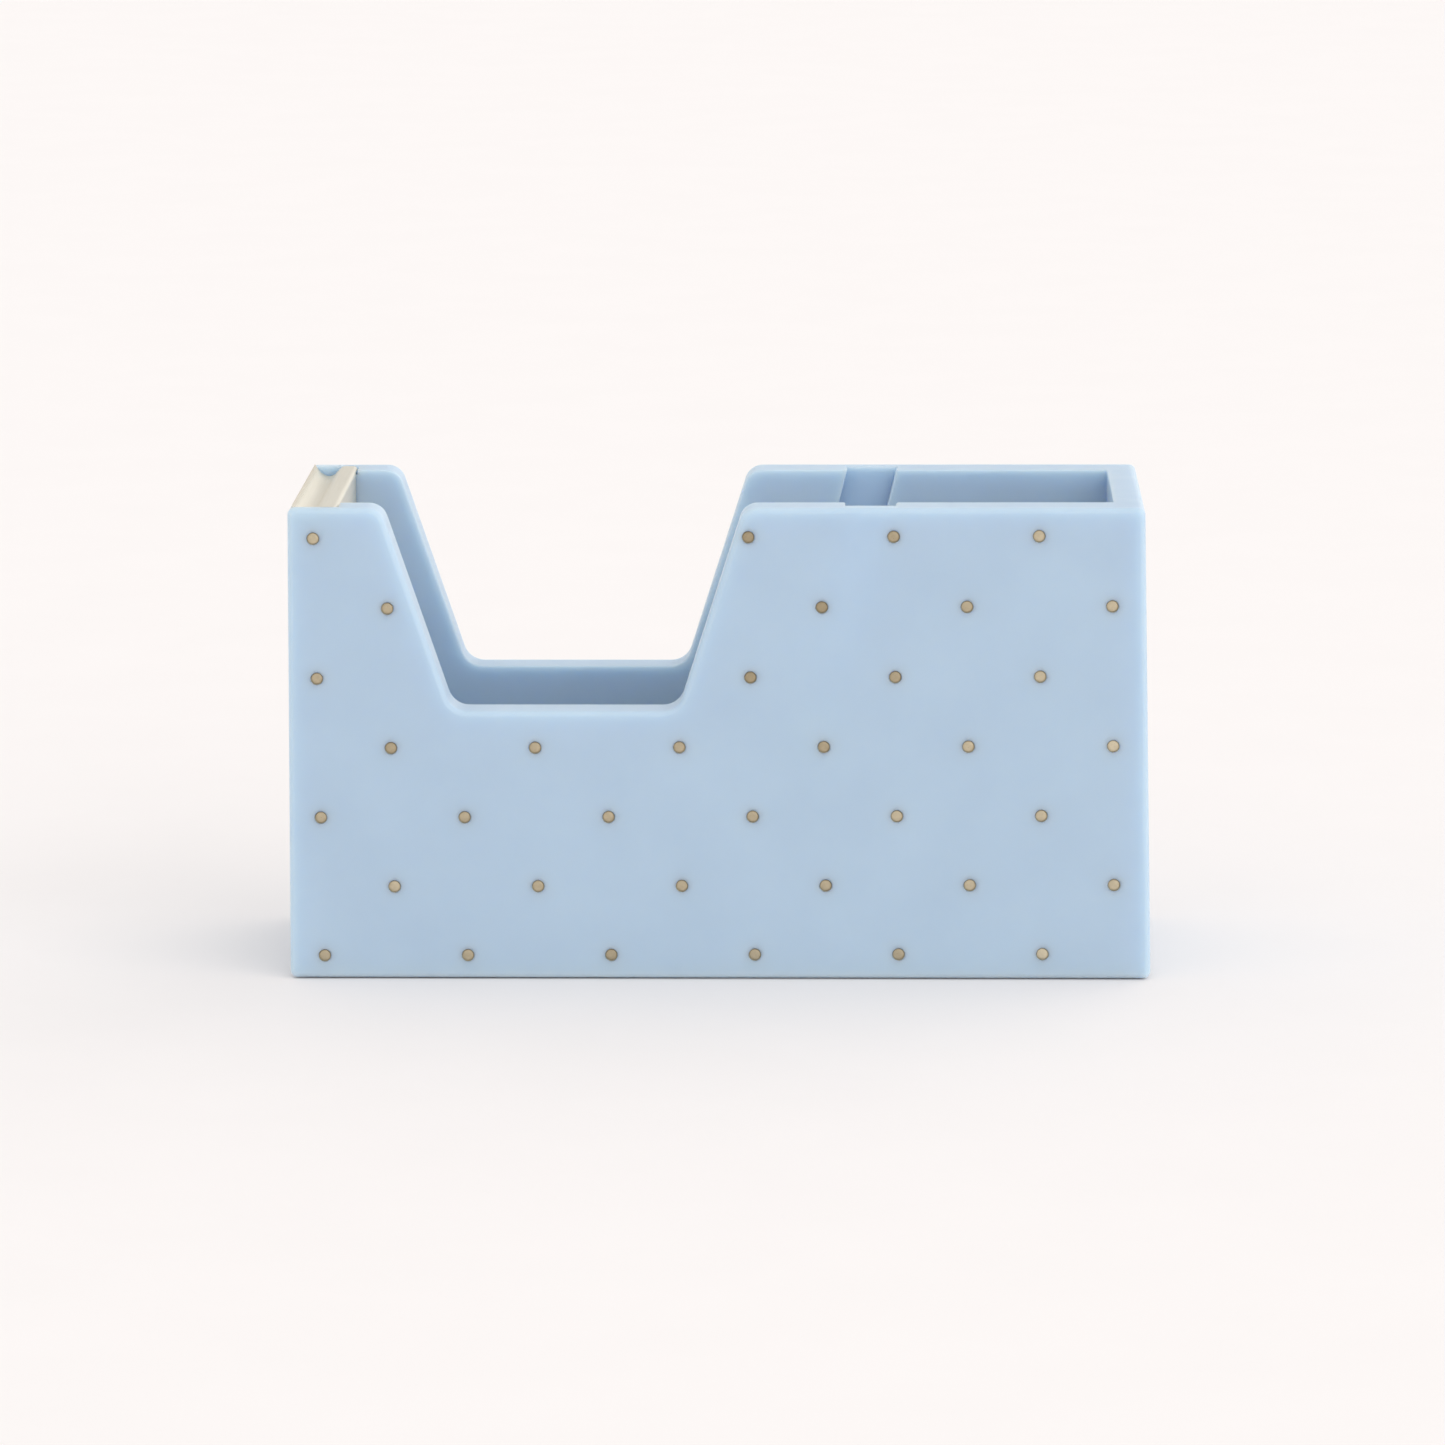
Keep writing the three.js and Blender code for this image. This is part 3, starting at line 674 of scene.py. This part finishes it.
def make_tub(look):
    """The tub. Its dots are cut last, so that their mouths keep the easing that their cutter gives them."""
    cutters = [bay_cutter(), slot_cutter(-1), slot_cutter(1), pocket_cutter(), *base_cutters()]
    tub = cut(tub_block(), *cutters)
    round_edges(tub, {"outside": 0.6, "bay": 0.3, "slot": 0.3, "pocket": 0.0, "base": 0.3})
    cut(tub, dot_cutter())
    return piece(smooth(tub), "tub", "resin", look, "tub_body")


# ---- Cutter plate ----


def tooth_cutter(half):
    """The zigzag waste along the plate's free edge, which leaves its teeth."""
    root = NOSE_X + TOOTH_TIP + TOOTH_DEPTH
    outer = NOSE_X + TOOTH_TIP - TOOTH_BLUNT
    count = round(2 * half / TOOTH_PITCH)
    zigzag = [(outer - WASTE, -half - WASTE), (outer, -half - WASTE)]
    for i in range(count):
        zigzag.append((outer, -half + i * TOOTH_PITCH))
        zigzag.append((root, -half + (i + 0.5) * TOOTH_PITCH))
    zigzag += [(outer, half), (outer, half + WASTE), (outer - WASTE, half + WASTE)]
    rings = [level(zigzag, TOP_Z - WASTE), level(zigzag, TOP_Z + WASTE)]
    return mesh_object("teeth", loft(bmesh.new(), rings))


def flange_trims(half):
    """The waste beside the flange, which is narrower than the shelf so that it passes between the walls."""
    inner = BAY_HALF - BAY_CORNER
    trims = []
    for side in (-1, 1):
        near, far = sorted((side * inner, side * (half + WASTE)))
        box = rectangle(BAY_NOSE_X, BAY_NOSE_X + 2 * WASTE, near, far, SHARP)
        trims.append(slab("trim", box, 0, TOP_Z - SHEET, steps=1))
    return trims


def sheet_section(top, down, half):
    """The bent sheet cut across at one point of its upper face. down points through the sheet."""
    edge = BLADE_EDGE
    corners = [(-half, edge), (edge - half, 0), (half - edge, 0), (half, edge),
               (half, SHEET - edge), (half - edge, SHEET), (edge - half, SHEET), (-half, SHEET - edge)]
    places = [(y, top + down * depth) for y, depth in corners]
    return [(p.x, y, p.y) for y, p in places]


def make_cutter(look):
    """The bent plate, with its teeth, its narrowed flange and a hole for each screw."""
    line = cutter_line(40, 12)
    half = CUTTER_HIGH.y
    sections = [sheet_section(p, -n, half) for p, n in zip(line, sheet_normals(line))]
    plate = mesh_object("cutter", loft(bmesh.new(), sections))
    cut(plate, tooth_cutter(half), *flange_trims(half))
    for side in ("front", "back"):
        low, high = (corner * 1000 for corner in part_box(f"cutter_screw_{side}"))
        y, z = (low.y + high.y) / 2, (low.z + high.z) / 2
        profile = [(0, -WASTE), (BLADE_HOLE, -WASTE), (BLADE_HOLE, WASTE), (0, WASTE)]
        cut(plate, spin("hole", profile, (NOSE_X + FLANGE_X, y, z), "X", 32))
    return piece(smooth(plate), "tub", "cutter_metal", look, "cutter_plate")


# ---- Foil dots ----


def foil_cup(name, x, z, side):
    """A shallow cup of foil: a disc pressed into its recess, with a side that turns up to the rim."""
    half_way = 0.5 * (DISC_RADIUS + FOIL_RADIUS)
    half_up = 0.5 * (FOIL_FLOOR + FOIL_RIM)
    profile = [
        (0.0, FOIL_FLOOR - 0.03), (0.5 * DISC_RADIUS, FOIL_FLOOR - 0.02),
        (DISC_RADIUS - 0.05, FOIL_FLOOR - 0.005), (DISC_RADIUS, FOIL_FLOOR + 0.01),
        (half_way - 0.015, half_up), (FOIL_RADIUS - 0.03, FOIL_RIM + 0.02), (FOIL_RADIUS, FOIL_RIM),
        (FOIL_RADIUS + 0.01, FOIL_RIM + 0.03), (half_way + 0.015, half_up + FOIL_THICKNESS),
        (DISC_RADIUS + 0.02, FOIL_FLOOR + FOIL_THICKNESS), (0.0, FOIL_FLOOR + FOIL_THICKNESS),
    ]
    dot = spin(name, [(r, side * (HALF_DEPTH - depth)) for r, depth in profile], (x, 0, z), steps=32)
    centre = Vector(mm(x, 0, z))
    # moving the disc widens the painted shade ring on the side it moves away from
    disc_shift = Vector(mm(SHADE_RING_SHIFT[0], 0, SHADE_RING_SHIFT[1]))
    for vertex in dot.data.vertices:
        reach = vertex.co - centre
        if math.hypot(reach.x, reach.z) < mm(DISC_RADIUS + 0.03):
            vertex.co += disc_shift
    return dot


def foil_shade(x, z):
    """How light a dot's foil is, from 0 to 1: lighter toward the rear end, and darker in a patch in the
    upper middle of the walls.
    """
    away = math.hypot(x - DARK_PATCH[0], z - DARK_PATCH[1]) / DARK_PATCH_REACH
    patch_darkening = math.exp(-0.5 * away ** 2)
    return 0.5 + 0.4 * max(x / REAR_X, 0) - 0.75 * patch_darkening


def tilt_cup(dot, pivot, chance):
    """Leans a cup a little about pivot, as pressed foil lies."""
    tilt = Matrix.Rotation(chance.uniform(-DOT_TILT, DOT_TILT), 4, "X")
    tilt = tilt @ Matrix.Rotation(chance.uniform(-DOT_TILT, DOT_TILT), 4, "Z")
    dot.data.transform(Matrix.Translation(pivot) @ tilt @ Matrix.Translation(-pivot))


def paint_recess_shade(dot, pivot, recess_shade_look):
    """Gives everything round a cup's flat middle the foil that is darkened as painted shade of the recess.
    """
    dot.data.materials.append(recess_shade_look)
    for face in dot.data.polygons:
        out = face.center - pivot
        face.material_index = int(math.hypot(out.x, out.z) > mm(DISC_RADIUS + 0.04))


def make_dots():
    """A cup of foil in each recess. Each lies a little differently, and has a shade of its own."""
    chance = random.Random(7)
    shades = [gold_foil(s / 4) for s in range(5)]
    # painted shade: the foil up each recess's side is darkened to stand for the shade inside the recess
    recess_shade_look = foil_edge()
    for side, name in ((-1, "front"), (1, "back")):
        for i, (x, z) in enumerate(dot_places(), 1):
            dot = foil_cup(f"foil_dot_{name}_{i}", x, z, side)
            pivot = Vector(mm(x, side * (HALF_DEPTH - FOIL_PIVOT), z))
            tilt_cup(dot, pivot, chance)
            shade = foil_shade(x, z) + chance.uniform(-0.15, 0.15)
            look = shades[round(4 * min(max(shade, 0), 1))]
            nodes = [f"foil_dot_{i}"] if side < 0 else []
            piece(smooth(dot, 40), "tub", "dot_foil", look, *nodes)
            paint_recess_shade(dot, pivot, recess_shade_look)


# ---- Hub and axle ----


def turned(name, profile, steps=96):
    """A solid of revolution on the hub's centre line. profile holds (radius, place along Y)."""
    return spin(name, profile, (HUB.x, 0, HUB.z), steps=steps)


def make_rod(look):
    """The rod, with chamfered ends that are slightly hollowed in the middle."""
    end = ROD_HIGH.y
    far = [(ROD_RADIUS, end - BREAK), (ROD_RADIUS - BREAK, end), (0.5 * ROD_RADIUS, end), (0, end - BREAK)]
    near = [(radius, -place) for radius, place in reversed(far)]
    piece(smooth(turned("rod", near + far, 64)), "axle", "axle_steel", look, "axle_rod")


def make_sleeve(side, name, look):
    """A sleeve pressed on one end of the rod, with the collar that keeps the hub central."""
    low, high = (corner * 1000 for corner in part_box(f"axle_sleeve_{name}"))
    inner, outer = sorted((abs(low.y), abs(high.y)))
    collar = BAY_HALF - PLAY
    bore = ROD_RADIUS + FIT
    profile = [
        (bore + BREAK, inner), (SLEEVE_RADIUS - BREAK, inner), (SLEEVE_RADIUS, inner + BREAK),
        (SLEEVE_RADIUS, collar - COLLAR_WIDTH - BREAK), (SLEEVE_RADIUS + BREAK, collar - COLLAR_WIDTH),
        (COLLAR_RADIUS - BREAK, collar - COLLAR_WIDTH), (COLLAR_RADIUS, collar - COLLAR_WIDTH + BREAK),
        (COLLAR_RADIUS, collar - BREAK), (COLLAR_RADIUS - BREAK, collar),
        (SLEEVE_RADIUS + BREAK / 2, collar), (SLEEVE_RADIUS, collar + BREAK / 2),
        (SLEEVE_RADIUS, outer - BREAK), (SLEEVE_RADIUS - BREAK, outer), (DIMPLE_RADIUS + BREAK, outer),
        (DIMPLE_RADIUS, outer - DIMPLE_DEPTH), (0, outer - DIMPLE_DEPTH), (0, outer - PLAY),
        (bore, outer - PLAY), (bore, inner + BREAK),
    ]
    sleeve = turned(f"sleeve_{name}", [(r, side * h) for r, h in profile])
    piece(smooth(sleeve), "axle", "sleeve_plastic", look, f"axle_sleeve_{name}")


def drum_ribs(y0, y1, lead):
    """Ribs along the drum from y0 to y1, with tops that slope down over the last stretch, lead, at y1."""
    bm = bmesh.new()
    half = RIB_WIDTH / 2
    foot = DRUM_RADIUS - RIB_ROOT
    for k in range(RIB_COUNT):
        angle = 2 * math.pi * k / RIB_COUNT
        out = Vector((math.sin(angle), math.cos(angle)))
        side = Vector((out.y, -out.x))
        rings = []
        for y, rise in ((y0, RIB_HEIGHT), (y1 - lead, RIB_HEIGHT), (y1, RIB_TOE)):
            top = DRUM_RADIUS + rise
            shoulder = top - RIB_SHOULDER
            section = [(-half, foot), (half, foot), (half, shoulder),
                       (0.8 * half, top), (-0.8 * half, top), (-half, shoulder)]
            places = [side * t + out * r for t, r in section]
            rings.append([(HUB.x + p.x, y, HUB.z + p.y) for p in places])
        loft(bm, rings)
    return mesh_object("ribs", bm)


def make_hub_front(look):
    """The half with the flange that the roll is pushed against."""
    face = -DRUM_HALF - HUB_WEB
    bore = ROD_RADIUS + RUNNING
    hollow = DRUM_RADIUS - DRUM_WALL
    boss_land = BOSS_RADIUS + BOSS_LAND
    flange_land = HUB_FLANGE_RADIUS - FLANGE_LAND
    profile = [
        (bore + BREAK, face), (boss_land, face), (boss_land + HUB_DISH, face + HUB_DISH),
        (flange_land - HUB_DISH, face + HUB_DISH), (flange_land, face),
        (HUB_FLANGE_RADIUS - FLANGE_ROUND, face),
        (HUB_FLANGE_RADIUS - 0.3 * FLANGE_ROUND, face + 0.3 * FLANGE_ROUND),
        (HUB_FLANGE_RADIUS, face + FLANGE_ROUND), (HUB_FLANGE_RADIUS, -DRUM_HALF - FLANGE_ROUND),
        (HUB_FLANGE_RADIUS - 0.3 * FLANGE_ROUND, -DRUM_HALF - 0.3 * FLANGE_ROUND),
        (HUB_FLANGE_RADIUS - FLANGE_ROUND, -DRUM_HALF),
        (DRUM_RADIUS + BREAK, -DRUM_HALF), (DRUM_RADIUS, -DRUM_HALF + BREAK),
        (DRUM_RADIUS, -BREAK), (DRUM_RADIUS - BREAK, 0), (hollow + BREAK / 2, 0), (hollow, -BREAK / 2),
        (hollow, -DRUM_HALF + HUB_FILLET), (hollow - 0.25 * HUB_FILLET, -DRUM_HALF + 0.25 * HUB_FILLET),
        (hollow - HUB_FILLET, -DRUM_HALF), (BOSS_RADIUS + HUB_FILLET, -DRUM_HALF),
        (BOSS_RADIUS + 0.25 * HUB_FILLET, -DRUM_HALF + 0.25 * HUB_FILLET),
        (BOSS_RADIUS, -DRUM_HALF + HUB_FILLET),
        (BOSS_RADIUS, -PLAY - BREAK), (BOSS_RADIUS - BREAK, -PLAY), (bore + BREAK, -PLAY),
        (bore, -PLAY - BREAK), (bore, face + BREAK),
    ]
    hub = join(turned("hub_front", profile), drum_ribs(face + HUB_WEB / 2, -0.01, lead=0.6))
    piece(smooth(hub), "hub", "hub_plastic", look, "hub_front_half")


def make_hub_back(look):
    """The half that is closed by a web, with a spigot that snaps inside the front half."""
    face = DRUM_HALF
    bore = ROD_RADIUS + RUNNING
    spigot = DRUM_RADIUS - DRUM_WALL - PLAY
    hollow = spigot - DRUM_WALL
    web = face - HUB_WEB
    boss_land = BOSS_RADIUS + BOSS_LAND
    drum_land = DRUM_RADIUS - DRUM_LAND
    profile = [
        (bore + BREAK, PLAY), (BOSS_RADIUS - BREAK, PLAY), (BOSS_RADIUS, PLAY + BREAK),
        (BOSS_RADIUS, web - HUB_FILLET), (BOSS_RADIUS + 0.25 * HUB_FILLET, web - 0.25 * HUB_FILLET),
        (BOSS_RADIUS + HUB_FILLET, web), (hollow - HUB_FILLET, web),
        (hollow - 0.25 * HUB_FILLET, web - 0.25 * HUB_FILLET),
        (hollow, web - HUB_FILLET), (hollow, -SPIGOT + BREAK), (hollow + BREAK, -SPIGOT),
        (spigot - 2 * BREAK, -SPIGOT), (spigot, -SPIGOT + 2 * BREAK), (spigot, PLAY),
        (DRUM_RADIUS - BREAK, PLAY), (DRUM_RADIUS, PLAY + BREAK), (DRUM_RADIUS, face - 2 * BREAK),
        (DRUM_RADIUS - 0.5 * BREAK, face - 0.5 * BREAK), (DRUM_RADIUS - 2 * BREAK, face),
        (drum_land, face), (drum_land - HUB_DISH, face - HUB_DISH),
        (boss_land + HUB_DISH, face - HUB_DISH), (BOSS_RADIUS, face - HUB_DISH),
        (BOSS_RADIUS, face + HUB_WEB - BREAK), (BOSS_RADIUS - BREAK, face + HUB_WEB),
        (bore + BREAK, face + HUB_WEB), (bore, face + HUB_WEB - BREAK), (bore, PLAY + BREAK),
    ]
    hub = join(turned("hub_back", profile), drum_ribs(PLAY + 0.01, face - 2 * BREAK, lead=1.2))
    piece(smooth(hub), "hub", "hub_plastic", look, "hub_back_half")


# ---- Base and screws ----


def screw(name, head, head_height, shank, length):
    """A pan-head screw with a cross recess. It stands on its head at the origin and points up +Z."""
    flat = HEAD_FLAT * head
    profile = [(0, 0), (flat, 0)]
    for k in range(1, 7):
        turn = math.pi / 2 * k / 6
        radius = flat + (head - flat) * math.sin(turn)
        profile.append((radius, HEAD_DOME * head_height * (1 - math.cos(turn))))
    profile += [(head, head_height - HEAD_BREAK), (head - HEAD_BREAK, head_height), (shank, head_height)]
    top = head_height + length
    root = THREAD_ROOT * shank
    threads = int((length - shank - THREAD_SPARE) / THREAD_PITCH)
    for k in range(threads):
        z = head_height + THREAD_START + k * THREAD_PITCH
        profile += [(root, z), (root, z + 0.35 * THREAD_PITCH),
                    (shank, z + 0.65 * THREAD_PITCH), (shank, z + 0.75 * THREAD_PITCH)]
    profile += [(root, top - shank), (0, top)]
    made = spin(name, profile, (0, 0, 0), "Z", 40)
    long, short = CROSS_LONG * head, CROSS_SHORT * head
    for x, y in ((long, short), (short, long)):
        rings = []
        for share, z in ((1, -0.05), (CROSS_TAPER, CROSS_DEPTH * head_height)):
            arm = rectangle(-share * x, share * x, -share * y, share * y, SHARP)
            rings.append(level(ring(arm, 0, 1), z))
        cut(made, mesh_object("arm", loft(bmesh.new(), rings)))
    return smooth(made, 32)


def make_screws(look):
    for i in range(1, 5):
        low, high = (corner * 1000 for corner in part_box(f"base_screw_{i}"))
        made = screw(f"cover_screw_{i}", **BASE_SCREW)
        made.data.transform(Matrix.Translation(mm((low.x + high.x) / 2, (low.y + high.y) / 2, low.z)))
        piece(made, "tub", "screw_steel", look, f"base_screw_{i}")
    for name in ("front", "back"):
        low, high = (corner * 1000 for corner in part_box(f"cutter_screw_{name}"))
        made = screw(f"blade_screw_{name}", **BLADE_SCREW)
        place = Matrix.Translation(mm(high.x, (low.y + high.y) / 2, (low.z + high.z) / 2))
        made.data.transform(place @ Matrix.Rotation(-math.pi / 2, 4, "Y"))
        piece(made, "tub", "screw_steel", look, f"cutter_screw_{name}")


def box_slab(name, low, high, corner, edge):
    """A slab that fills a node's box."""
    return slab(name, rectangle(low.x, high.x, low.y, high.y, corner), low.z, high.z, edge)


def make_ballast(look):
    ballast = box_slab("ballast", BALLAST_LOW, BALLAST_HIGH, BALLAST_CORNER, edge=0.5)
    piece(smooth(ballast), "tub", "ballast_iron", look, "ballast_plate")


def make_cover(look):
    """The base cover, with a stepped hole for each screw."""
    cover = box_slab("cover", COVER_LOW, COVER_HIGH, COVER_CORNER, edge=0.25)
    seat = BASE_SCREW["head"] + PLAY
    hole = BASE_SCREW["shank"] + PLAY
    for i in range(1, 5):
        low, high = (corner * 1000 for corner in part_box(f"base_screw_{i}"))
        step = BASE_SCREW["head_height"] + FIT
        profile = [(0, -WASTE), (seat, -WASTE), (seat, step), (hole, step), (hole, WASTE), (0, WASTE)]
        centre = ((low.x + high.x) / 2, (low.y + high.y) / 2, COVER_LOW.z)
        cut(cover, spin("seat", profile, centre, "Z", 40))
    piece(smooth(cover), "tub", "cover_plastic", look, "base_cover")


def make_pad(look):
    pad = box_slab("pad", PAD_LOW, PAD_HIGH, PAD_CORNER, edge=0.2)
    piece(smooth(pad), "tub", "pad_foam", look, "non_slip_pad")


# ---- Camera, light and floor ----


def direction(azimuth, elevation):
    """Unit vector from the object. azimuth runs from the front, -Y, by the right, +X."""
    level_part = math.cos(elevation)
    return Vector((math.sin(azimuth) * level_part, -math.cos(azimuth) * level_part, math.sin(elevation)))


def make_camera():
    """A long lens a little above the tub and a hair to its right."""
    azimuth, elevation, roll = math.radians(1.53), math.radians(11.02), math.radians(-0.26)
    target = Vector(mm(0, 0, 40.2))
    distance = mm(1147.5)
    back = direction(azimuth, elevation)
    data = bpy.data.cameras.new("camera")
    data.sensor_width = 36
    data.lens = 163.8
    data.clip_end = 20
    camera = bpy.data.objects.new("camera", data)
    bpy.context.scene.collection.objects.link(camera)
    camera.location = target + back * distance
    camera.rotation_mode = "QUATERNION"
    camera.rotation_quaternion = (-back).to_track_quat("-Z", "Y") @ Quaternion((0, 0, 1), roll)
    bpy.context.scene.camera = camera


def make_floor():
    """A sheet of warm white paper that reaches past the camera's view on every side."""
    bm = bmesh.new()
    bmesh.ops.create_grid(bm, x_segments=1, y_segments=1, size=8000)
    floor = mesh_object("floor", bm)
    look = Look("floor_paper", Specular_IOR_Level=0.1)
    look.colour(look.ramp(look.noise(30, 3), [
        (0.30, srgb(248, 243, 241)),
        (0.70, srgb(249, 244, 242)),
    ]))
    look.rough(look.spread(look.noise(60, 3), 0.85, 0.95))
    floor.data.materials.append(look.material)


def softbox(name, azimuth, elevation, strength):
    """A sun as broad as a softbox, 60 degrees across. azimuth and elevation are in degrees."""
    light = bpy.data.lights.new(name, "SUN")
    light.energy = strength
    light.angle = math.radians(60)
    toward = direction(math.radians(azimuth), math.radians(elevation))
    lamp = bpy.data.objects.new(name, light)
    bpy.context.scene.collection.objects.link(lamp)
    lamp.rotation_mode = "QUATERNION"
    lamp.rotation_quaternion = toward.to_track_quat("Z", "Y")


def make_lights():
    """Two low softboxes at the right, one in front and one behind, in an even white room."""
    softbox("key", 45, 20, 0.78)
    softbox("rim", 135, 20, 0.45)
    world = bpy.data.worlds.new("studio")
    bpy.context.scene.world = world
    world.use_nodes = True
    background = world.node_tree.nodes["Background"]
    background.inputs["Color"].default_value = (1.0, 1.0, 1.0, 1.0)
    background.inputs["Strength"].default_value = 0.91
    settings = bpy.context.scene.view_settings
    settings.view_transform = "Standard"
    settings.look = "None"


make_camera()
make_floor()
make_lights()
make_tub(resin())
make_cutter(champagne_metal())
make_dots()
make_rod(steel("ground_steel", srgb(176, 178, 180), srgb(202, 204, 206), (1, 0.03, 1)))
sleeve_plastic = moulded_plastic("sleeve_plastic", srgb(204, 212, 217), srgb(213, 220, 224), 0.42, 0.2)
make_sleeve(-1, "front", sleeve_plastic)
make_sleeve(1, "back", sleeve_plastic)
hub_plastic = moulded_plastic("hub_plastic", srgb(221, 221, 216), srgb(229, 229, 225), 0.38, 0.2)
make_hub_front(hub_plastic)
make_hub_back(hub_plastic)
make_screws(steel("plated_steel", srgb(170, 173, 176), srgb(206, 208, 210), (1, 1, 1)))
make_ballast(black_iron())
make_cover(moulded_plastic("cover_plastic", srgb(150, 168, 186), srgb(160, 178, 196), 0.5))
make_pad(foam())
